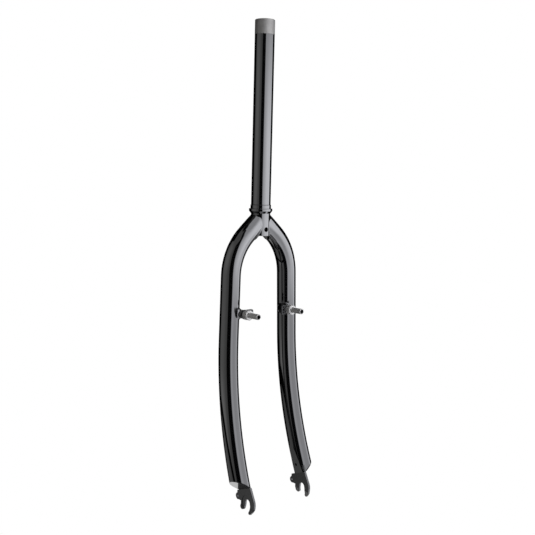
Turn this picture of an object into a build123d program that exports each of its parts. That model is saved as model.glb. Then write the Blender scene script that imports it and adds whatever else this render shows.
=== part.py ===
"""Rigid steel bicycle fork with a unicrown and posts for rim brakes.

Frame: the origin is on the steering axis, level with the shoulder that the headset's crown race sits on.
+X is forward, +Y is the rider's left and +Z runs up the steerer tube. All sizes are in millimetres.
The left-hand pieces are modelled, and the right-hand ones are their mirror images.
"""
import os
from math import atan2, cos, degrees, radians, sin, sqrt, tan

from build123d import *

# Steerer tube, a plain threadless tube
steerer_diameter = 28.6
steerer_wall = 1.6
steerer_length = 267.0  # from the crown race shoulder up to the top
steerer_foot = 39.5  # from the crown race shoulder down to the open bottom end
steerer_top_chamfer = 0.6
foot_step = 0.2  # how much the foot is turned down, up to the shoulder that stops the race seat
crown_hole_diameter = 6.3
crown_hole_drop = 30.3

# Crown race seat, a turned ring on the foot of the steerer
seat_diameter = 30.0
seat_height = 5.5
seat_lead_in = 0.6
shoulder_width = 2.1  # from the seat out to the edge of the flange
flange_height = 3.8
flange_rounding = 1.0
flange_cone_height = 3.4
flange_land = 0.4  # what is left of the ring's wall at the foot of the cone

# Blades, round tube bent towards the steerer at the crown and raked forward towards the axle
blade_diameter = 28.6
blade_wall = 1.8
seam_below_seat = 0.45  # from the foot of the race seat down to the top of the blade's seam
crown_bend_angle = 45.7
crown_pinch = 3.7  # how far the blade's front and back are squeezed in, at the steering axis
crown_bend_drop = 96.0  # lower end of the crown bend
crown_bend_spread = 104.4  # distance between the two blades' axes there
crown_bend_forward = 0.4
rake_start_drop = 188.0  # lower end of the straight run
rake_start_spread = 109.4
rake_start_forward = 1.4
blade_end_above_axle = 19.2
blade_end_behind_axle = 7.0
blade_end_outset = 10.3  # from the dropout's inner face to the blade's axis
bevel_angle = 34.0
flat_depth = 3.5  # how far the blade's inner side is pressed flat, at its end
flat_length = 46.0  # from the blade's end up to where the flat runs out
vent_diameter = 3.0
vent_above_end = 12.5
weld_lip = 2.0  # metal that closes the blade's mouth under the foot of the steerer

# Axle and dropouts
fork_rake = 51.6
axle_drop = 416.4  # from the crown race shoulder to the axle, along the steering axis
hub_spacing = 100.0
dropout_thickness = 4.0
dropout_rounding = 0.9
tang_length = 16.0
slot_width = 10.5
washer_seat_radius = 11.8
washer_seat_depth = 0.6
rear_edge_back = 24.0
underside_drop = 1.2
tab_width = 9.0
tab_drop = 11.5
tab_flare = 0.9  # how far the slot widens towards its mouth, on the tab's side
hook_bulge = 0.7
hook_tip_drop = 13.7
hook_tip_forward = 7.2
hook_tip_width = 5.0
hook_knee_forward = 13.4
hook_knee_up = 8.0
eyelet_back = 22.4
eyelet_up = 3.2
eyelet_radius = 5.0
eyelet_blend = 2.5
eyelet_hole_diameter = 4.2
lip_drop = 4.0  # from the axle down to where the tips start to bend outwards
lip_bend_radius = 2.0
lip_angle = 13.0

# Brake posts: a boss brazed to the blade, a plate for the spring and a screwed-in stud
post_spacing = 80.7
post_drop = 150.8
post_tilt = 2.3  # how far the posts point upwards, in degrees
boss_diameter = 13.0
boss_stand_off = 5.2  # from the front of the blade to the boss's flat face
boss_length = 14.5  # from the flat face back to the centre of the domed end
braze_radius = 4.0
braze_bite = 0.35  # how far under the blade's skin the fillet's own tangent line lies
plate_thickness = 2.5
plate_radius = 7.0
plate_reach = 13.4
plate_height = 13.6
plate_corner = 2.5
plate_clearance = 0.1
spring_hole_diameter = 2.6
spring_hole_reach = 10.4
spring_hole_pitch = 4.2
collar_diameter = 14.4
collar_length = 9.0
collar_chamfer = 0.8
pin_diameter = 8.0
pin_length = 20.4
pin_chamfer = 0.7
pin_bore_diameter = 5.0
pin_bore_depth = 16.0
shank_diameter = 8.0
shank_length = 9.0

# Values worked out from the sizes above
steerer_radius = steerer_diameter / 2
foot_radius = steerer_radius - foot_step
seat_drop = flange_height + flange_cone_height
blade_radius = blade_diameter / 2
axle = Vector(fork_rake, hub_spacing / 2, -axle_drop)
crown_bend_end = Vector(crown_bend_forward, crown_bend_spread / 2, -crown_bend_drop)
rake_start = Vector(rake_start_forward, rake_start_spread / 2, -rake_start_drop)
blade_end = axle + Vector(-blade_end_behind_axle, blade_end_outset, blade_end_above_axle)
straight_run = rake_start - crown_bend_end
blade_run = straight_run.normalized()
lead_slope = radians(crown_bend_angle) + atan2(straight_run.Y, -straight_run.Z)
blade_top = foot_radius / tan(lead_slope) - blade_radius / sin(lead_slope)
crown_apex = Vector(0, 0, blade_top - seat_drop - seam_below_seat)  # where the two blades' lines cross
boss_face_forward = blade_radius + boss_stand_off
plate_face_forward = boss_face_forward + plate_thickness
inboard = Vector(0, -1, 0)
post_run = Vector(cos(radians(post_tilt)), 0, sin(radians(post_tilt)))
post_plane = Plane((0, post_spacing / 2, -post_drop), x_dir=inboard, z_dir=post_run)


def tangent_bend(start, direction, end):
    """Axis and angle of the one arc that leaves start along direction and passes through end."""
    chord = end - start
    across = chord - direction * chord.dot(direction)
    radius = chord.length**2 / (2 * across.length)
    centre = start + across.normalized() * radius
    turn = 2 * degrees(atan2(across.length, chord.dot(direction)))
    return Axis(centre, direction.cross(across)), turn


def bend_and_lead(start, direction, end, angle):
    """Axis of the bend that leaves start along direction, and the straight lead from that bend to end."""
    chord = end - start
    along = chord.dot(direction)
    across = chord - direction * along
    turn = radians(angle)
    radius = (along * sin(turn) - across.length * cos(turn)) / (1 - cos(turn))
    inward = across.normalized()
    bend_end = start + direction * radius * sin(turn) + inward * radius * (1 - cos(turn))
    return Axis(start + inward * radius, direction.cross(inward)), end - bend_end


rake_axis, rake_turn = tangent_bend(rake_start, blade_run, blade_end)
crown_axis, crown_lead = bend_and_lead(crown_bend_end, -blade_run, crown_apex, crown_bend_angle)
end_run = blade_run.rotate(Axis((0, 0, 0), rake_axis.direction), rake_turn)
end_plane = Plane(blade_end, x_dir=(-end_run.Z, 0, end_run.X), z_dir=end_run)


def upright_cylinder(radius, bottom, top):
    """Cylinder on the steering axis between two heights."""
    return Pos(0, 0, bottom) * Cylinder(radius, top - bottom, align=(Align.CENTER, Align.CENTER, Align.MIN))


def straight_bar(radius):
    """Solid round bar along the blade's straight run."""
    return extrude(Plane(crown_bend_end, z_dir=blade_run) * Circle(radius), straight_run.length)


def lead_bar(radius):
    """Solid bar from the crown bend to the steering axis, round at first and then pinched to an oval."""
    sections = []
    for share in (0, 1 / 3, 2 / 3, 1):
        middle = crown_apex - crown_lead * (1 - share)
        oval = Ellipse(radius, radius - crown_pinch * share**2)
        sections.append(Plane(middle, x_dir=crown_axis.direction.cross(crown_lead), z_dir=crown_lead) * oval)
    return loft(sections)


def blade_bar(radius):
    """Solid bar along the whole blade: pinched lead, crown bend, straight run and rake bend."""
    crown = revolve(Plane(crown_bend_end, z_dir=-blade_run) * Circle(radius), crown_axis, crown_bend_angle)
    rake = revolve(Plane(rake_start, z_dir=blade_run) * Circle(radius), rake_axis, rake_turn)
    return lead_bar(radius) + crown + straight_bar(radius) + rake


def bevel_plane(depth):
    """Plane of the blade's bevelled end, moved into the metal by depth."""
    root = blade_end + end_plane.y_dir * (blade_end_outset - dropout_thickness)
    slope = radians(bevel_angle)
    normal = end_run * cos(slope) - end_plane.y_dir * sin(slope)
    return Plane(root - normal * depth, x_dir=end_plane.x_dir, z_dir=normal)


def flat_plane(depth):
    """Plane of the flat on the blade's inner side, moved into the metal by depth."""
    normal = (end_plane.y_dir * flat_length + end_run * flat_depth).normalized()
    root = blade_end + end_plane.y_dir * (blade_radius - flat_depth)
    return Plane(root - normal * depth, x_dir=end_plane.x_dir, z_dir=normal)


def pressed(bar, depth):
    """The bar with the inner side of its last run pressed flat; the crown lies beyond that plane."""
    last_run = Plane(blade_end - end_run * (flat_length + blade_radius), z_dir=end_run)
    flattened = split(split(bar, last_run, Keep.TOP), flat_plane(depth), Keep.BOTTOM)
    return split(bar, last_run, Keep.BOTTOM) + flattened


def make_steerer():
    """Tube open at both ends, with a chamfered top, and a turned foot with a hole from front to back."""
    tube = upright_cylinder(steerer_radius, seat_height, steerer_length)
    tube = chamfer(tube.edges().sort_by(Axis.Z)[-1], steerer_top_chamfer)
    tube += upright_cylinder(foot_radius, -steerer_foot, seat_height)
    tube -= upright_cylinder(steerer_radius - steerer_wall, -steerer_foot, steerer_length)
    drill = Rot(0, 90, 0) * Cylinder(crown_hole_diameter / 2, 2 * steerer_diameter)
    return tube - Pos(0, 0, -crown_hole_drop) * drill


def make_race_seat():
    """Turned ring: the seat, the shoulder's flange with rounded edges, and a cone under it."""
    seat_radius = seat_diameter / 2
    flange_radius = seat_radius + shoulder_width
    section = Polyline(
        (foot_radius, -seat_drop),
        (foot_radius, seat_height),
        (seat_radius - seat_lead_in, seat_height),
        (seat_radius, seat_height - seat_lead_in),
        (seat_radius, 0),
        (flange_radius, 0),
        (flange_radius, -flange_height),
        (foot_radius + flange_land, -seat_drop),
        close=True,
    )
    profile = make_face(section)
    profile = fillet(profile.vertices().group_by(Axis.X)[-1], flange_rounding)
    return revolve(Plane.XZ * profile, Axis.Z)


def make_tang():
    """Upper end of the dropout: the plate's own thickness, flush with the outside of the blade."""
    above_end = Plane(blade_end - end_run * tang_length, z_dir=end_run)
    last_of_blade = split(blade_bar(blade_radius), above_end, Keep.TOP)
    reach = 2 * (blade_diameter + tang_length)
    slab = Box(reach, dropout_thickness, reach, align=(Align.CENTER, Align.MIN, Align.CENTER))
    return split(last_of_blade, flat_plane(0), Keep.BOTTOM) & Pos(blade_end.X, axle.Y, blade_end.Z) * slab


def make_blade(tang):
    """Bent tube, coped to the steerer, with a closed end that is pressed flat, bevelled and slotted."""
    outside = split(blade_bar(blade_radius), bevel_plane(0), Keep.BOTTOM)
    outside = split(outside, Plane.ZX, Keep.TOP)  # the two blades would meet at the middle plane
    outside = pressed(outside, 0)
    inside = pressed(blade_bar(blade_radius - blade_wall), blade_wall)
    inside = split(inside, Plane(blade_end - end_run * blade_wall, z_dir=end_run), Keep.BOTTOM)
    inside = split(inside, bevel_plane(blade_wall), Keep.BOTTOM)
    inside -= upright_cylinder(foot_radius + weld_lip, -crown_bend_drop, -steerer_foot)
    drill = Cylinder(vent_diameter / 2, blade_diameter, align=(Align.CENTER, Align.CENTER, Align.MIN))
    vent = Plane(blade_end - end_run * vent_above_end, z_dir=end_plane.y_dir) * drill
    return outside - inside - upright_cylinder(foot_radius, -crown_bend_drop, 0) - tang - vent


def dropout_outline():
    """Face of the dropout in its own plane, with the axle's centre as origin, forward and up as axes."""
    half_slot = slot_width / 2
    tab_front = -half_slot - tab_flare
    tab_rear = tab_front - tab_width
    tab_centre = -tab_drop + tab_width / 2
    half_chord = sqrt(blade_radius**2 - (blade_end_outset - dropout_thickness) ** 2)
    front = end_plane.x_dir * half_chord
    front_shoulder = Vector(front.X - blade_end_behind_axle, front.Z + blade_end_above_axle)
    hook_knee = Vector(hook_knee_forward, hook_knee_up)
    front_top = front_shoulder + (front_shoulder - hook_knee)
    tip_inner = (hook_tip_forward - hook_tip_width / 2, -hook_tip_drop + hook_tip_width / 2)
    tip_outer = (hook_tip_forward + hook_tip_width / 2, -hook_tip_drop + hook_tip_width / 3)
    with BuildLine() as edge:
        rear = Line((-rear_edge_back, front_top.Y), (-rear_edge_back, -underside_drop))
        underside = Line(rear @ 1, (tab_rear, -underside_drop))
        tab_back = Line(underside @ 1, (tab_rear, tab_centre))
        tab_bottom = (tab_front - tab_width / 2, -tab_drop)
        tab_tip = ThreePointArc(tab_back @ 1, tab_bottom, (tab_front, tab_centre))
        mouth = Line(tab_tip @ 1, (-half_slot, 0))
        slot_top = ThreePointArc(mouth @ 1, (0, half_slot), (half_slot, 0))
        hook_middle = (half_slot + hook_bulge, tip_inner[1] / 2)
        hook_inside = ThreePointArc(slot_top @ 1, hook_middle, tip_inner)
        hook_tip = ThreePointArc(hook_inside @ 1, (hook_tip_forward, -hook_tip_drop), tip_outer)
        front_edge = Line(front_top, hook_knee)
        TangentArc(hook_knee, hook_tip @ 1, tangent=front_edge % 1)
        Line(rear @ 0, front_top)
    return make_face(edge.edges())


def bend_tips(plate):
    """Sheet-metal bend: everything below a level line is turned outwards about an axis beside the plate."""
    level = axle.Z - lip_drop
    fold = Plane((axle.X, axle.Y, level), z_dir=(0, 0, -1))
    fold_axis = Axis((axle.X, axle.Y + dropout_thickness + lip_bend_radius, level), (1, 0, 0))
    tips = split(plate, fold, Keep.TOP)
    bent = split(plate, fold, Keep.BOTTOM)
    for section in tips.faces().filter_by(lambda face: abs(face.center().Z - level) < 0.001):
        bent += revolve(section, fold_axis, lip_angle)
    return bent + tips.rotate(fold_axis, lip_angle)


def make_dropout(tang):
    """Slotted plate with a hook, a rear tab, an eyelet lobe, a recessed washer seat and bent tips."""
    eyelet = Pos(-eyelet_back, eyelet_up)
    face = dropout_outline() + eyelet * Circle(eyelet_radius)
    lobe_ends = face.vertices().sort_by_distance((-eyelet_back, eyelet_up))[:2]
    face = fillet(lobe_ends, eyelet_blend)
    plate = extrude(face, dropout_thickness)
    plate = fillet(plate.edges().filter_by(Plane.XY), dropout_rounding)
    plate -= eyelet * Cylinder(eyelet_hole_diameter / 2, 4 * dropout_thickness)
    plate -= Cylinder(washer_seat_radius, 2 * washer_seat_depth)
    outer_face = Plane(axle + Vector(0, dropout_thickness, 0), x_dir=(1, 0, 0), z_dir=inboard)
    return split(bend_tips(outer_face * plate), end_plane, Keep.TOP) + tang


def turned(outline):
    """Solid of revolution about the post's axis; the outline's points are (radius, distance forward)."""
    return post_plane * revolve(Plane.XZ * make_face(outline), Axis.Z)


def post_bar(radius, start, end):
    """Cylinder on the post's axis between two distances forward."""
    bar = Cylinder(radius, end - start, align=(Align.CENTER, Align.CENTER, Align.MIN))
    return post_plane * (Pos(0, 0, start) * bar)


def make_boss():
    """Round boss with a domed back, brazed to the blade with a fillet all round and tapped for the stud."""
    boss_radius = boss_diameter / 2
    dome_forward = boss_face_forward - boss_length
    dome = post_plane * (Pos(0, 0, dome_forward) * Sphere(boss_radius))
    body = post_bar(boss_radius, dome_forward, boss_face_forward) + dome
    joined = straight_bar(blade_radius - braze_bite) + body
    seam = joined.edges().filter_by(lambda e: e.geom_type not in (GeomType.LINE, GeomType.CIRCLE))
    brazed = fillet(seam, braze_radius)
    tapping = post_bar(shank_diameter / 2, plate_face_forward - shank_length, boss_face_forward)
    return brazed - straight_bar(blade_radius) - tapping


def make_spring_plate():
    """Stamped plate between the boss and the stud's collar, with a row of holes for the brake's spring."""
    lobe = Pos(plate_reach / 2, 0) * Rectangle(plate_reach, plate_height)
    lobe = fillet(lobe.vertices().group_by(Axis.X)[-1], plate_corner)
    face = lobe + Circle(plate_radius) - Circle(shank_diameter / 2 + plate_clearance)
    for step in (-1, 0, 1):
        face -= Pos(spring_hole_reach, step * spring_hole_pitch) * Circle(spring_hole_diameter / 2)
    return post_plane * (Pos(0, 0, boss_face_forward) * extrude(face, plate_thickness))


def make_stud():
    """Turned stud: a shank in the boss, a collar against the plate, and a pin with a tapped end."""
    collar_radius = collar_diameter / 2
    pin_radius = pin_diameter / 2
    shank_end = plate_face_forward - shank_length
    collar_face = plate_face_forward + collar_length
    pin_end = collar_face + pin_length
    outline = Polyline(
        (0, shank_end),
        (shank_diameter / 2, shank_end),
        (shank_diameter / 2, plate_face_forward),
        (collar_radius - collar_chamfer, plate_face_forward),
        (collar_radius, plate_face_forward + collar_chamfer),
        (collar_radius, collar_face - collar_chamfer),
        (collar_radius - collar_chamfer, collar_face),
        (pin_radius, collar_face),
        (pin_radius, pin_end - pin_chamfer),
        (pin_radius - pin_chamfer, pin_end),
        (0, pin_end),
        close=True,
    )
    return turned(outline) - post_bar(pin_bore_diameter / 2, pin_end - pin_bore_depth, pin_end)


def main():
    os.makedirs("parts", exist_ok=True)
    tang = make_tang()
    pieces = {"steerer_tube": make_steerer(), "crown_race_seat": make_race_seat()}
    left_pieces = {
        "blade": make_blade(tang),
        "dropout": make_dropout(tang),
        "brake_boss": make_boss(),
        "spring_plate": make_spring_plate(),
        "brake_stud": make_stud(),
    }
    for name, piece in left_pieces.items():
        pieces["left_" + name] = piece
        pieces["right_" + name] = mirror(piece, about=Plane.XZ)
    for name, piece in pieces.items():
        export_step(piece, "parts/" + name + ".step")


main()
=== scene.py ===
# %% [markdown]
# # A rigid bicycle fork in a white studio
# The fork is one black weldment: a long steerer tube, a turned seat for the headset, two bent blades,
# slotted dropouts, and a brake post on each blade. The shapes come ready-made as solids, so this lesson
# loads them and gives them what a solid doesn't have: paint, bare steel, weld fillets, light and a
# camera.

# %% Load the solids
from math import cos, radians, sin

import bpy
import numpy as np
from mathutils import Matrix, Vector


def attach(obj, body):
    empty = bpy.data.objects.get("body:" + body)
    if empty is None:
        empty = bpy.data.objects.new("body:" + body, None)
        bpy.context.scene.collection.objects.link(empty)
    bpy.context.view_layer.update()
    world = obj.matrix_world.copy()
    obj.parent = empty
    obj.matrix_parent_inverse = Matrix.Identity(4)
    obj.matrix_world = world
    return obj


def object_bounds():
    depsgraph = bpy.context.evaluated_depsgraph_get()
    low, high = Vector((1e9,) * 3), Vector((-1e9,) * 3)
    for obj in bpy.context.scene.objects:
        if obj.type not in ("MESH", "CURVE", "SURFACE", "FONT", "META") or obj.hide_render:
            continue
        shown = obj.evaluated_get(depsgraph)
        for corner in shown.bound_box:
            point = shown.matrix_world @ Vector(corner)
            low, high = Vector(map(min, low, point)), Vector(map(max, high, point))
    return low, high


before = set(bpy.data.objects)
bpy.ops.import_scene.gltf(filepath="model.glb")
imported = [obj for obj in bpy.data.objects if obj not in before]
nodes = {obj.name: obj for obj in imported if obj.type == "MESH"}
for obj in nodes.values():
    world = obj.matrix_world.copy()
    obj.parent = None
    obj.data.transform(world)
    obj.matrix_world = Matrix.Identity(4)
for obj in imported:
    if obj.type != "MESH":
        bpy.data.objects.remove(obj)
solid_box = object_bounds()
scene = bpy.context.scene
print("solids:", ", ".join(sorted(nodes)))

# %% [markdown]
# ## The camera
# The photograph was taken from the front and the rider's right, a little above the crown, and slightly
# turned. A camera can be aimed with a tracking constraint, but a tilted one is easier to state by its
# three own directions: right, up and back towards the viewer. The small shift puts the picture's centre
# in place.

# %% Camera
view_turn, view_rise, view_roll = radians(50.96), radians(6.56), radians(1.35)
view_distance = 1.16822
view_target = Vector((0, 0, -0.06925))
picture_size = 535
focal_pixels = 796.86
centre_pixel = (259.58, 255.39)
sensor_width = 36

toward_viewer = Vector((sin(view_turn) * cos(view_rise), -cos(view_turn) * cos(view_rise), sin(view_rise)))
level_right = Vector((cos(view_turn), sin(view_turn), 0))
level_up = toward_viewer.cross(level_right)
picture_right = level_right * cos(view_roll) + level_up * sin(view_roll)
picture_up = level_up * cos(view_roll) - level_right * sin(view_roll)

camera_data = bpy.data.cameras.new("studio_camera")
camera_data.sensor_width = sensor_width
camera_data.lens = focal_pixels / picture_size * sensor_width
camera_data.shift_x = 0.5 - centre_pixel[0] / picture_size
camera_data.shift_y = centre_pixel[1] / picture_size - 0.5
camera = bpy.data.objects.new("studio_camera", camera_data)
turned = Matrix((picture_right, picture_up, toward_viewer)).transposed().to_4x4()
camera.matrix_world = Matrix.Translation(view_target + toward_viewer * view_distance) @ turned
scene.collection.objects.link(camera)
scene.camera = camera
scene.view_settings.view_transform = "Standard"
print("camera lens:", round(camera_data.lens, 2), "mm")

# %% [markdown]
# ## Shader sums as plain expressions
# A finish is a small calculation: noise, masks and mixes. Each step could be wired by hand, node after
# node, but that hides the sum. So a `Wire` stands for a socket, arithmetic on wires adds Math nodes, and
# `add_node` makes every other node from its type, its settings and the values or wires of its sockets.


# %% Wires and nodes
def plug(tree, socket, value):
    """Link a wire to a socket, or set the socket's own value."""
    if isinstance(value, Wire):
        tree.links.new(value.socket, socket)
    else:
        socket.default_value = value


def add_node(tree, kind, settings=None, sockets=None, output=0):
    """Add one node: settings first, then its sockets; gives back a wire from one of its outputs, if any."""
    node = tree.nodes.new(kind)
    for name, value in (settings or {}).items():
        setattr(node, name, value)
    for name, value in (sockets or {}).items():
        plug(tree, node.inputs[name], value)
    return Wire(node.outputs[output]) if node.outputs else None


class Wire:
    """An output socket whose sums, products and powers become Math nodes in its own tree."""

    def __init__(self, socket):
        self.socket = socket
        self.tree = socket.id_data

    def other(self, output):
        """A wire from another output of the same node."""
        return Wire(self.socket.node.outputs[output])

    def math(self, operation, first, second=0.0):
        """A Math node on two wires or numbers."""
        return add_node(self.tree, "ShaderNodeMath", {"operation": operation}, {0: first, 1: second})

    def __add__(self, other):
        return self.math("ADD", self, other)

    def __radd__(self, other):
        return self.math("ADD", other, self)

    def __sub__(self, other):
        return self.math("SUBTRACT", self, other)

    def __rsub__(self, other):
        return self.math("SUBTRACT", other, self)

    def __mul__(self, other):
        return self.math("MULTIPLY", self, other)

    def __rmul__(self, other):
        return self.math("MULTIPLY", other, self)

    def __pow__(self, other):
        return self.math("POWER", self, other)

    def __abs__(self):
        return self.math("ABSOLUTE", self)

    def sine(self):
        """Sine of an angle in radians."""
        return self.math("SINE", self)

    def larger(self, other):
        """The larger of two numbers."""
        return self.math("MAXIMUM", self, other)

    def angle_from(self, along):
        """Angle of the point (along, self), in degrees."""
        return self.math("ARCTAN2", self, along) * (180 / np.pi)

    def reach(self, other):
        """Distance of the point (self, other) from the origin: the root of the sum of the squares."""
        return (self * self + other * other) ** 0.5

    def between(self, low, high):
        """A number that goes from low to high as this one goes from 0 to 1."""
        return low + (high - low) * self

    def ramp(self, low, high):
        """0 below low, 1 above high and a smooth S between them."""
        limits = {"Value": self, "From Min": low, "From Max": high}
        return add_node(self.tree, "ShaderNodeMapRange", {"interpolation_type": "SMOOTHSTEP"}, limits)

    def step(self, place, soft):
        """0 below a place and 1 above it, with a soft edge of the given half width."""
        return self.ramp(place - soft, place + soft)

    def window(self, low, high, soft):
        """1 between low and high and 0 outside, with soft edges of the given half width."""
        return self.step(low, soft) * (1 - self.step(high, soft))

    def vector_math(self, operation, vector, output="Vector"):
        """A Vector Math node on this wire and another vector."""
        sockets = {0: self, 1: vector}
        return add_node(self.tree, "ShaderNodeVectorMath", {"operation": operation}, sockets, output)

    def dot(self, direction):
        """How far this vector reaches along a fixed direction."""
        return self.vector_math("DOT_PRODUCT", direction, "Value")

    def distance(self, point):
        """How far this place lies from a fixed point."""
        return self.vector_math("DISTANCE", point, "Value")


# %% [markdown]
# ## The white room
# The picture's background is plain white. The world gives it to the camera, and to mirrors where they
# look at the backdrop. For everything else the world is dark, apart from a soft light overhead and a lit
# sweep of paper low behind the fork. What lights the fork from the sides is a ring of cards, which comes
# further down. Two numbers in brackets say from where to where something changes: in degrees round the
# fork, with 0 at the viewer, or in height, which goes from -1 to 1 in the sky.

# %% World
overhead_light, overhead_from = 0.15, (0.9, 0.97)
sweep_light, sweep_turn, sweep_top = 1.1, (95, 115), (-0.65, -0.5)
white, paper_turn, paper_foot = 1.0, (166, 172), (-0.5, -0.4)

level_back = Vector((toward_viewer.x, toward_viewer.y, 0)).normalized()


def turn_and_height(place):
    """Angle of a place round the fork, in degrees from the viewer towards the right, and its height."""
    return place.dot(level_right).angle_from(place.dot(level_back)), place.dot((0, 0, 1))


studio = bpy.data.worlds.new("white_studio")
studio.use_nodes = True
sky = studio.node_tree
sky.nodes.clear()
sky_turn, sky_height = turn_and_height(add_node(sky, "ShaderNodeTexCoord", output="Generated"))
behind = abs(sky_turn)
overhead = sky_height.ramp(*overhead_from) * overhead_light
sweep = behind.ramp(*sweep_turn) * (1 - sky_height.ramp(*sweep_top)) * sweep_light
backdrop = behind.ramp(*paper_turn) * sky_height.ramp(*paper_foot)
camera_ray = add_node(sky, "ShaderNodeLightPath", output="Is Camera Ray")
mirror_ray = camera_ray.other("Is Glossy Ray").larger(camera_ray.other("Is Transmission Ray"))
sees_white = camera_ray.larger(mirror_ray * backdrop)
seen = sees_white * white + (1 - sees_white) * (overhead + sweep)
light = add_node(sky, "ShaderNodeBackground", sockets={"Color": seen, "Strength": 1.0})
add_node(sky, "ShaderNodeOutputWorld", sockets={"Surface": light})
scene.world = studio
print("world drawn with", len(sky.nodes), "nodes")

# %% [markdown]
# ## Surfaces from whole arrays
# The table, the ring of cards and the welds are surfaces: a grid of points worked out at once with numpy.
# They could be built face by face, but one helper that joins the neighbours of a grid with four-sided
# faces, and closes it where the shape is a ring, serves them all. A second one gives the points of
# anything round.


# %% Grids of points and their meshes
def grid_object(name, points, ring_rows=False, ring_columns=False):
    """Mesh of a grid of points with shape (rows, columns, 3); a ring closes on its first row or column."""
    rows, columns = points.shape[:2]
    number = np.arange(rows * columns).reshape(rows, columns)
    if ring_rows:
        number = np.vstack([number, number[:1]])
    if ring_columns:
        number = np.hstack([number, number[:, :1]])
    corners = [number[:-1, :-1], number[1:, :-1], number[1:, 1:], number[:-1, 1:]]
    faces = np.stack(corners, axis=-1).reshape(-1, 4)
    mesh = bpy.data.meshes.new(name)
    mesh.from_pydata(points.reshape(-1, 3).tolist(), [], faces.tolist())
    mesh.shade_smooth()
    piece = bpy.data.objects.new(name, mesh)
    scene.collection.objects.link(piece)
    return piece


def turned_points(radii, levels, spokes=96):
    """Points round an upright axis, a row for each radius and level.

    X is the radius times the cosine of the angle, Y the radius times its sine, and Z the level.
    """
    angle = np.linspace(0, 2 * np.pi, spokes, endpoint=False)
    radius, level = np.broadcast_arrays(radii, levels)
    radius, level = radius[:, None], level[:, None]
    return np.stack([radius * np.cos(angle), radius * np.sin(angle), level + 0 * angle], -1)


# %% [markdown]
# ## The start and the end of a material
# Every material starts from its object's own coordinates in metres, so that a grain has a real size, and
# it ends in a surface. That could be written out each time, but three small helpers save the repeating:
# one starts a material, one makes a Principled surface, and one closes the material.


# %% Start and end of a material
def new_finish(name):
    """Start a material; gives back the material, its tree and a wire of the place on the object."""
    finish = bpy.data.materials.new(name)
    finish.use_nodes = True
    finish.node_tree.nodes.clear()
    return finish, finish.node_tree, add_node(finish.node_tree, "ShaderNodeTexCoord", output="Object")


def principled(tree, *looks):
    """A Principled surface with the sockets of one or more looks; a later look goes over an earlier one."""
    sockets = {name: value for look in looks for name, value in look.items()}
    return add_node(tree, "ShaderNodeBsdfPrincipled", sockets=sockets)


def end_finish(tree, surface):
    """Close a material with its surface."""
    add_node(tree, "ShaderNodeOutputMaterial", sockets={"Surface": surface})


# %% [markdown]
# ## Table
# A round table with a white cloth stands under the fork and in front of it, and takes the fork's shadow.
# A wide floor would do, but the paint would mirror it everywhere; a small table leaves the cards and the
# sweep to be mirrored. The cloth fades out towards its rim, so that no edge shows when the fork is seen
# from above.

# %% Table
table_hub, table_radius, hoops = 0.001, 0.36, 12
table_below_fork = 0.45
table_forward = 0.22
cloth_white, fade_from = (0.9, 0.9, 0.9, 1), 0.08

table_points = turned_points(np.linspace(table_hub, table_radius, hoops), solid_box[0].z - table_below_fork)
table_points[..., :2] += np.array(level_back[:2]) * table_forward
table = grid_object("white_table", table_points, ring_columns=True)

cloth, cloth_tree, cloth_place = new_finish("white_cloth")
cloth_forward = cloth_place.dot(level_back) - table_forward
from_middle = cloth_forward.reach(cloth_place.dot(level_right))
cloth_look = {"Base Color": cloth_white, "Roughness": 0.9, "Specular IOR Level": 0.0}
cloth_fade = {"Alpha": 1 - from_middle.ramp(fade_from, table_radius)}
end_finish(cloth_tree, principled(cloth_tree, cloth_look, cloth_fade))
table.data.materials.append(cloth)
print("table", table_below_fork, "m below the fork")

# %% [markdown]
# ## Light for black gloss
# Gloss black paint has almost no colour of its own: what is seen is the studio mirrored in it. A tube
# shows the whole circle of the room squeezed into its width, so each band on it is a card or a gap at
# some angle round the fork. Lamps could stand there, but one round wall that glows only where a card
# hangs gives the same bands, with soft edges and at a real distance. It is half a metre away: near enough
# that the bands shift from tube to tube, as they do in the photograph. The camera looks through the wall.

# %% Ring of cards
ring_radius = 0.5
ring_bottom, ring_top = -0.86, 1.4

ring = grid_object("ring_of_cards", turned_points(ring_radius, [ring_top, ring_bottom]), ring_columns=True)
ring.visible_camera = False

card_glow, card_tree, card_place = new_finish("card_glow")
card_turn, card_height = turn_and_height(card_place)
print("ring of cards", ring_radius, "m from the fork")

# %% [markdown]
# ### Left card
# The grey bands on the left of the tubes are one large card, dimmer than the right one. It ends below in
# a brighter rim; then comes a dark strip, and under it an apron of paper. Between the two cards is the
# dark gap that the camera looks through, and high up it leans over to one side. Separate sheets could
# hang there, but masks on one wall are quicker to move. Heights on the wall are in metres, and a span
# ends in its softness.

# %% Left card and apron
left_span, left_top = (-98, -21.5, 3), (0.9, 1.05)
left_light, left_middle, left_rim = 0.5, 0.2, 0.35
heart_span, heart_rise, heart_fall = (-84, -44, 14), (-0.15, 0.05), (0.2, 0.45)
rim_fade = (0.05, 0.12)
strip_height, strip_half, strip_soft = -0.414, 0.025, 0.006
strip_rise, strip_climb = 0.016, (-60, -38)
gap_lean, gap_lean_from = 38, 0.38
gap_shift, gap_shift_at = 20, (0.30, 0.42)
apron_light, apron_soft = 0.45, 0.012
apron_start, apron_end = (-130, -85), (-25, -15)

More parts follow.
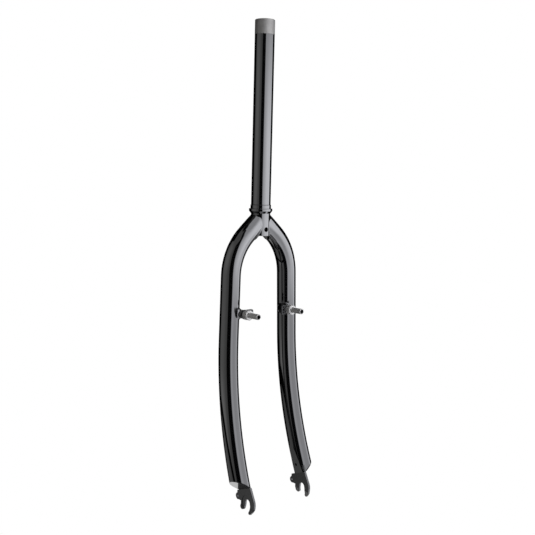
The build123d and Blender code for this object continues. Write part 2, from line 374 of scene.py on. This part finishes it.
above_strip = card_height - strip_height - strip_rise * card_turn.ramp(*strip_climb)
gap_turn = card_turn + gap_lean * (card_height - gap_lean_from).larger(0)
left_turn = gap_turn - gap_shift * card_height.ramp(*gap_shift_at)
left_card = left_turn.window(*left_span) * above_strip.step(strip_half, strip_soft)
left_heart = (1 + card_height.ramp(*heart_rise)) * (1 - card_height.ramp(*heart_fall)) * left_middle
left_heart = left_heart + left_rim * (1 - above_strip.ramp(*rim_fade))
left_glow = (left_light + left_heart * card_turn.window(*heart_span)) * (1 - card_height.ramp(*left_top))
apron = 1 - above_strip.ramp(-strip_half - apron_soft, -strip_half)
apron = apron * card_turn.ramp(*apron_start) * (1 - card_turn.ramp(*apron_end))
plain_cards = left_card * left_glow + apron * apron_light
print("left card from", left_span[0], "to", left_span[1], "degrees, with an apron below")

# %% [markdown]
# ### Right card
# The bright bands on the right are a softbox. It is brightest level with the crown, most of all towards
# its far end, and low down its two upright borders are brighter than its middle. Its light is a trace
# cooler than the rest. A second colour could be mixed in, but one Vector Math node tints it; a Math node
# would make it grey.

# %% Right card and glow
right_span, right_shift, right_shift_at = (20, 112, 3.5), 4.5, (-0.1, 0.05)
right_light, right_middle, right_far = 2.3, 0.8, 2.3
crown_rise, crown_fall, far_turn = (-0.28, -0.05), (0.08, 0.42), (12, 68)
right_dim, right_dim_at = 0.2, (70, 95)
near_border, near_border_at = 0.27, (30, 58)
far_border, far_border_at = 0.35, (84, 97)
border_top = (-0.25, -0.1)
cool = (0.985, 0.995, 1.05)

right_card = (gap_turn + right_shift * card_height.ramp(*right_shift_at)).window(*right_span)
right_heart = card_height.ramp(*crown_rise) * (1 - card_height.ramp(*crown_fall))
right_heart = right_heart * (right_middle + right_far * card_turn.ramp(*far_turn))
right_glow = (right_light + right_heart) * (1 - right_dim * card_turn.ramp(*right_dim_at))
borders = near_border * (1 - card_turn.ramp(*near_border_at)) + far_border * card_turn.ramp(*far_border_at)
right_glow = right_glow * (1 + (1 - card_height.ramp(*border_top)) * borders)
paper = abs(card_turn).ramp(*paper_turn) * white
cards = (right_card * right_glow).vector_math("MULTIPLY", cool).vector_math("ADD", plain_cards + paper)
end_finish(card_tree, add_node(card_tree, "ShaderNodeEmission", sockets={"Color": cards, "Strength": 1.0}))
ring.data.materials.append(card_glow)
print("right card from", right_span[0], "to", right_span[1], "degrees")

# %% [markdown]
# ## Helpers for paint and steel
# Paint and steel differ from place to place: dust, waves, stains, rings from the lathe. Pictures could
# show that, but noise has no seams and fits every size. So one helper makes a grain of a given size in
# metres, one turns a height into a bump, one mixes two colours, and one puts a finish on the solids.


# %% Grain, bump, mix and dress
def grain(place, sizes, detail=2.0):
    """Noise from 0 to 1 whose grains have the given sizes in metres along X, Y and Z."""
    stretched = place.vector_math("MULTIPLY", [1 / size for size in sizes])
    sockets = {"Vector": stretched, "Scale": 1.0, "Detail": detail}
    return add_node(place.tree, "ShaderNodeTexNoise", sockets=sockets)


def bump(height, depth):
    """Normal of a surface whose height, from 0 to 1, stands for the given depth in metres."""
    sockets = {"Height": height, "Distance": depth, "Strength": 1.0}
    return add_node(height.tree, "ShaderNodeBump", sockets=sockets)


def mixed(factor, first, second):
    """Colour between two colours, which a Mix node takes at sockets 6 and 7 and gives at output 2."""
    return add_node(factor.tree, "ShaderNodeMix", {"data_type": "RGBA"}, {0: factor, 6: first, 7: second}, 2)


def dress(finish, *names):
    """Put a finish in the material slot of each named solid."""
    for name in names:
        nodes[name].material_slots[0].material = finish
    print(finish.name, "on", ", ".join(names))


# %% [markdown]
# ## Gloss black paint
# Sprayed and baked enamel: a deep black under a clear, smooth top. A plain black with low roughness would
# look like plastic, so a clear coat mirrors sharply over a softer base whose faint waves, orange peel,
# are about 3 mm long. Thinly scattered dust and rubbing change the base a little from place to place.
# Each of these is a function of its own, because the steerer, the dropouts and the spring plates use them
# too.

# %% Gloss paint
millimetre = 0.001
paint_black, paint_worn = (0.0012, 0.0012, 0.0013, 1), (0.0020, 0.0020, 0.0021, 1)
cloud_size = (0.03, 0.03, 0.05)
paint_rough = (0.03, 0.06)
peel_size, peel_depth = 0.003, 0.000006
paint_coat = {"Coat Weight": 1.0, "Coat Roughness": 0.02, "Coat IOR": 1.5, "IOR": 1.5}


def paint_colour(cloud):
    """Black that is a trace paler where the cloud of dust is dense."""
    return mixed(cloud, paint_black, paint_worn)


def paint_roughness(cloud):
    """Roughness of the paint, which grows where the cloud of dust is dense."""
    return cloud.between(*paint_rough)


def paint_peel(place):
    """Height of the orange peel, from 0 to 1."""
    return grain(place, (peel_size,) * 3, detail=1.0)


gloss_paint, paint_tree, paint_place = new_finish("gloss_paint")
paint_cloud = grain(paint_place, cloud_size)
gloss_look = {
    "Base Color": paint_colour(paint_cloud),
    "Roughness": paint_roughness(paint_cloud),
    "Normal": bump(paint_peel(paint_place), peel_depth),
}
gloss_surface = principled(paint_tree, paint_coat, gloss_look)
print("gloss paint with waves", peel_size / millimetre, "mm long")

# %% [markdown]
# ### Vent and braze
# Two places on each blade are dull: the rim of the vent hole near its lower end, where the paint ran in,
# and the brazed joint on the bevelled end beside the dropout, which was left rough. They could be solids
# of their own, but they are only skin. So each gets a mask, and a Mix Shader leads from the gloss to a
# dull black. The sideways coordinate is folded, so that one mask serves both blades.

# %% Vent, braze and the finished paint
vent_spot, vent_rim = Vector((0.0395, 0.0483, -0.386)), (0.0019, 0.0025)
braze_edge, braze_soft = Vector((0.0424, 0.0641, -0.3905)), 0.0004
bevel_face, braze_side = Vector((0.314, 0.573, -0.756)), Vector((0.722, -0.660, -0.2))
bevel_skin = (0.001, 0.0018)
dull_look = {"Base Color": paint_black, "Roughness": 0.6, "Specular IOR Level": 0.08}


def folded(place):
    """The place with its sideways part made positive, so that both blades are described at once."""
    parts = {"X": place.dot((1, 0, 0)), "Y": abs(place.dot((0, 1, 0))), "Z": place.dot((0, 0, 1))}
    return add_node(place.tree, "ShaderNodeCombineXYZ", sockets=parts)


def braze_mask(place):
    """1 within a skin of the bevel's plane and on the dropout's side of the braze's edge, 0 elsewhere."""
    off_bevel = abs(place.dot(bevel_face) - bevel_face.dot(braze_edge))
    beside_edge = place.dot(braze_side) - braze_side.dot(braze_edge)
    return beside_edge.step(0, braze_soft) * (1 - off_bevel.ramp(*bevel_skin))


blade_place = folded(paint_place)
vent = 1 - blade_place.distance(vent_spot).ramp(*vent_rim)
dull = vent.larger(braze_mask(blade_place))
surfaces = {0: dull, 1: gloss_surface, 2: principled(paint_tree, dull_look)}
end_finish(paint_tree, add_node(paint_tree, "ShaderNodeMixShader", sockets=surfaces))
sides = ("left_", "right_")
painted = [side + piece for side in sides for piece in ("blade", "brake_boss")]
dress(gloss_paint, "crown_race_seat", *painted)

# %% [markdown]
# ## Steerer: where it is bare
# About 20 mm of the steerer's top was masked off, and the paint ends there in a slightly wavy edge. The
# inside of the tube and the hole through its foot were never sprayed either. Solids could be cut apart at
# those edges, but it is only paint, so masks on the height and on the distances from the tube's and the
# hole's axis do it.

# %% Bare places of the steerer
bare_from, edge_wave, edge_soft = 0.2464, 0.0007, 0.00012
wave_size = (0.012, 0.012, 0.03)
inside_wall, wall_soft = 0.0131, 0.0001
hole_height, hole_rim, hole_soft = -0.0303, 0.0036, 0.0002

steerer_paint, tube_tree, tube_place = new_finish("steerer_paint")
tube_x, tube_y, tube_z = [tube_place.dot(axis) for axis in ((1, 0, 0), (0, 1, 0), (0, 0, 1))]
edge_height = tube_z + edge_wave * (grain(tube_place, wave_size, detail=3.0) - 0.5)
bare_top = edge_height.step(bare_from, edge_soft)
bare_inside = 1 - tube_x.reach(tube_y).step(inside_wall, wall_soft)
in_hole = 1 - tube_y.reach(tube_z - hole_height).step(hole_rim, hole_soft)
unpainted = bare_inside.larger(in_hole)
bare = bare_top.larger(unpainted)
print("steerer bare from", bare_from / millimetre, "mm up")

# %% [markdown]
# ### Steerer: paint and steel
# The bare top is turned steel with fine rings and stains, and the inside is dark mill scale. Two
# materials could meet at the edge, but then the edge would have to follow faces. So one material mixes
# colour, roughness, metal and coat by the mask, and in its bump the paint stands a few hundredths of a
# millimetre higher than the steel.

# %% Steerer paint and steel
steel_light, steel_dark = (0.27, 0.265, 0.255, 1), (0.13, 0.127, 0.121, 1)
scale_black = (0.012, 0.011, 0.010, 1)
turning_size, stain_size = (0.03, 0.03, 0.0005), (0.008, 0.008, 0.006)
turning_share, steel_rough = 0.35, (0.5, 0.8)
paint_level, turning_level, tube_relief = (0.8, 1.0), 0.25, 0.00004

turning = grain(tube_place, turning_size, detail=3.0)
stain = grain(tube_place, stain_size, detail=3.0)
steel_tone = turning_share * turning + (1 - turning_share) * stain
bare_colour = mixed(unpainted, mixed(steel_tone, steel_dark, steel_light), scale_black)
tube_cloud = grain(tube_place, cloud_size)
paint_height = paint_peel(tube_place).between(*paint_level)
tube_look = {
    "Base Color": mixed(bare, paint_colour(tube_cloud), bare_colour),
    "Roughness": (1 - bare) * paint_roughness(tube_cloud) + bare * turning.between(*steel_rough),
    "Metallic": bare,
    "Coat Weight": 1 - bare,
    "Normal": bump((1 - bare) * paint_height + bare * turning_level * turning, tube_relief),
}
end_finish(tube_tree, principled(tube_tree, paint_coat, tube_look))
dress(steerer_paint, "steerer_tube")

# %% [markdown]
# ## Dropouts
# These are stamped plates under the same black, but their ground is less smooth than drawn tube, so the
# paint on them is a little softer. The tang that is let into the blade keeps the blade's gloss, because
# it was ground flush with the tube before spraying. Plate and tang could be two pieces, but they are one
# stamping, so a mask on the height leads from one to the other.

# %% Dropout paint
tang_foot, tang_rise = -0.385, 0.003
pressed_size, pressed_depth, pressed_rough = 0.0012, 0.000008, (0.3, 0.42)
plate_coat, soft_coat = (0.55, 1.0), {"Coat Roughness": 0.08}

dropout_paint, plate_tree, plate_place = new_finish("dropout_paint")
plate_cloud = grain(plate_place, cloud_size)
pressed = grain(plate_place, (pressed_size,) * 3)
tang = plate_place.dot((0, 0, 1)).ramp(tang_foot, tang_foot + tang_rise)
plate_look = {
    "Base Color": paint_colour(plate_cloud),
    "Roughness": tang * paint_roughness(plate_cloud) + (1 - tang) * pressed.between(*pressed_rough),
    "Coat Weight": tang.between(*plate_coat),
    "Normal": bump(pressed, pressed_depth),
}
end_finish(plate_tree, principled(plate_tree, paint_coat, soft_coat, plate_look))
dress(dropout_paint, *[side + "dropout" for side in sides])

# %% [markdown]
# ## Spring plates
# The small plates with three holes, between boss and stud, are punched from sheet. In the photograph they
# are only a few pixels high, so their finish is a guess. They could take the dropouts' paint, but black
# without a clear coat suits a thin stamping, and a fine grain from the punch changes how dull it is.

# %% Spring plate paint
punched_size, punched_depth, punched_rough = 0.0009, 0.000008, (0.4, 0.75)

plate_paint, spring_tree, spring_place = new_finish("plate_paint")
punched = grain(spring_place, (punched_size,) * 3)
spring_look = {
    "Base Color": paint_colour(grain(spring_place, cloud_size)),
    "Roughness": punched.between(*punched_rough),
    "Normal": bump(punched, punched_depth),
}
end_finish(spring_tree, principled(spring_tree, spring_look))
dress(plate_paint, *[side + "spring_plate" for side in sides])

# %% [markdown]
# ## Bare steel studs
# The studs were turned on a lathe, so fine rings run round the collar and the pin, and the hole in the end
# is tapped; its walls are painted near black, a painted shade for the inside of the hole. Rings could be
# modelled, but they are a few hundredths of a millimetre deep. The material works out how far along the
# post's tilted axis a place lies and how far out, and draws the rings from the first and the thread from
# both. The absolute value of Y serves the left and the right stud alike.

# %% Stud steel
post_side, post_height, post_tilt = 0.04035, -0.1508, radians(2.3)
along_post, over_post = (cos(post_tilt), 0, sin(post_tilt)), (-sin(post_tilt), 0, cos(post_tilt))
rings_in_metre, ring_share, ring_level = 4000, 0.4, 0.06
thread_pitch, thread_wall, wall_edge, thread_depth = 0.001, 0.0031, 0.0001, 0.00035
smudge_size, stud_rough = 0.004, (0.6, 0.76)
stud_light, stud_dark = (0.46, 0.456, 0.445, 1), (0.25, 0.247, 0.24, 1)
# painted shade: the tapped hole's walls are drawn near black
hole_shade_black = (0.03, 0.03, 0.03, 1)

bare_steel, stud_tree, stud_place = new_finish("bare_steel")
along_pin = stud_place.dot(along_post) - post_height * sin(post_tilt)
over_pin = stud_place.dot(over_post) - post_height * cos(post_tilt)
beside_pin = abs(stud_place.dot((0, 1, 0))) - post_side
ring_places = {"W": along_pin * rings_in_metre, "Scale": 1.0}
rings = add_node(stud_tree, "ShaderNodeTexNoise", {"noise_dimensions": "1D"}, ring_places)
tapped = 1 - over_pin.reach(beside_pin).step(thread_wall, wall_edge)
round_pin = over_pin.angle_from(beside_pin) * (np.pi / 180)
thread = 0.5 + 0.5 * (along_pin * (2 * np.pi / thread_pitch) + round_pin).sine()
smudge = grain(stud_place, (smudge_size,) * 3, detail=3.0)
turned_steel = mixed(ring_share * rings + (1 - ring_share) * smudge, stud_dark, stud_light)
# the base colour paints shade into the tapped hole, near black
stud_look = {
    "Base Color": mixed(tapped, turned_steel, hole_shade_black),
    "Roughness": rings.between(*stud_rough),
    "Metallic": 1.0,
    "Normal": bump(tapped * thread + (1 - tapped) * ring_level * rings, thread_depth),
}
end_finish(stud_tree, principled(stud_tree, stud_look))
dress(bare_steel, *[side + "brake_stud" for side in sides])

# %% [markdown]
# ## Welds at the crown
# Each blade is welded to the foot of the steerer all round its end. The paint over the weld is smooth: a
# small hollow fillet on top and at the sides, that fades to a sharp seam under the crown. A boolean with
# a bevel would be hard to steer here, so the weld is a surface of two parameters. It needs the blade's
# skin first: the sizes repeat those of the solids, and the lead is the straight run from the bend to the
# steerer.

# %% Path of the blade's upper end
blade_radius = 14.3 * millimetre
pinch = 3.7 * millimetre
apex = np.array([0, 0, -14.09]) * millimetre
bend_end = np.array([0.4, 52.2, -96.0]) * millimetre
rake_start = np.array([1.4, 54.7, -188.0]) * millimetre
bend_turn = radians(45.7)

climb = (bend_end - rake_start) / np.linalg.norm(bend_end - rake_start)
chord = apex - bend_end
sideways = chord - climb * (chord @ climb)
inward = sideways / np.linalg.norm(sideways)
bend_radius = (chord @ climb * sin(bend_turn) - chord @ inward * cos(bend_turn)) / (1 - cos(bend_turn))
lead_start = bend_end + bend_radius * (climb * sin(bend_turn) + inward * (1 - cos(bend_turn)))
lead = apex - lead_start
lead_length = np.linalg.norm(lead)
fore = np.cross(climb, inward)
over = np.cross(lead, fore) / lead_length


def blade_skin(share, round_blade):
    """Point on the blade's lead, and the outward direction there.

    The share says how far along the lead the point lies. The section is an oval: one blade radius over the
    lead, and less fore and aft by the pinch times the share squared. The angle round the blade is 0 on top.
    """
    share, round_blade = share[..., None], round_blade[..., None]
    outward = over * np.cos(round_blade) + fore * np.sin(round_blade)
    squeezed = fore * np.sin(round_blade) * pinch * share**2
    return lead_start + lead * share + outward * blade_radius - squeezed, outward


print("lead at the crown:", round(lead_length / millimetre, 1), "mm")

# %% [markdown]
# ### The seam
# The weld's corner is the seam, where the blade's skin meets the round foot of the steerer. That curve
# could be read from the solids' meshes, but those are only triangles. Nor has it a short formula, so it
# is found by halving: of two shares of the lead, one outside the foot and one inside, the middle replaces
# one of them again and again, for all places round the blade at once.

# %% Seam of blade and steerer
foot_radius = 14.1 * millimetre
weld_stations, halvings = 240, 40


def seam_share(round_blade):
    """Share of the lead at which the skin meets the steerer's foot, by halving the range that holds it."""
    low, high = np.zeros_like(round_blade), np.ones_like(round_blade)
    for halving in range(halvings):
        middle = (low + high) / 2
        point = blade_skin(middle, round_blade)[0]
        outside_foot = np.hypot(point[:, 0], point[:, 1]) > foot_radius
        low, high = np.where(outside_foot, middle, low), np.where(outside_foot, high, middle)
    return middle


weld_angles = np.linspace(0, 2 * np.pi, weld_stations, endpoint=False)
weld_shares = seam_share(weld_angles)
print("seam at", weld_shares.min().round(3), "to", weld_shares.max().round(3), "of the lead")

# %% [markdown]
# ### The weld's surface
# One parameter goes round the blade, and the other across the weld, from the steerer over the seam to the
# blade. A rolling ball would give a round fillet, but a parabola with its corner on the seam is simpler
# and leaves both skins without a kink. The right weld is the left one mirrored, with its rows turned
# round so that its faces still point outwards.

# %% Weld surface
weld_leg, weld_under = 2.4 * millimetre, 0.5 * millimetre
weld_root, weld_steps = 1.2 * millimetre, 12
seat_foot = -7.2 * millimetre
weld_crease = radians(50)


def foot_direction(bearing):
    """Level direction out of the steerer's foot: the cosine and the sine of the bearing round it."""
    return np.stack([np.cos(bearing), np.sin(bearing), 0 * bearing], -1)


def weld_points(share, round_blade):
    """Closed weld of the left blade.

    At each place round the blade it is a parabola that leaves the steerer and the blade along their skins,
    its corner on the seam, and a root below the seam that closes the section. On the steerer the leg is laid
    off on the unrolled skin, square to the seam. On top it stops at the foot of the race seat.
    """
    seam, skin_out = blade_skin(share, round_blade)
    leg = weld_under + (weld_leg - weld_under) * np.sqrt((1 + np.cos(round_blade)) / 2)
    on_blade = blade_skin(share - leg / lead_length, round_blade)[0]
    bearing = np.arctan2(seam[:, 1], seam[:, 0])
    unrolled = np.stack([bearing * foot_radius, seam[:, 2]], -1)
    along_seam = np.roll(unrolled, -1, 0) - np.roll(unrolled, 1, 0)
    away = np.stack([along_seam[:, 1], -along_seam[:, 0]], -1)
    away = away / np.linalg.norm(away, axis=1, keepdims=True)
    away = away * np.sign(np.sum(away * (unrolled - unrolled.mean(0)), 1, keepdims=True))
    reached = unrolled + away * leg[:, None]
    on_foot = foot_direction(np.clip(reached[:, 0] / foot_radius, 0, np.pi)) * foot_radius
    on_foot[:, 2] = np.minimum(reached[:, 1], seat_foot)
    way = np.linspace(0, 1, weld_steps)[:, None, None]
    crossing = (1 - way) ** 2 * on_foot + 2 * way * (1 - way) * seam + way**2 * on_blade
    root = seam - (foot_direction(bearing) + skin_out) * weld_root / 2
    return np.concatenate([crossing, root[None]])


left_weld_points = weld_points(weld_shares, weld_angles)
for side, mirror in zip(sides, (1, -1)):
    points = left_weld_points * np.array([1, mirror, 1])
    weld = grid_object(side + "crown_weld", points[::mirror], ring_rows=True, ring_columns=True)
    weld.data.set_sharp_from_angle(angle=weld_crease)
    weld.data.materials.append(gloss_paint)
    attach(weld, "root")
    print(weld.name, len(weld.data.polygons), "faces")
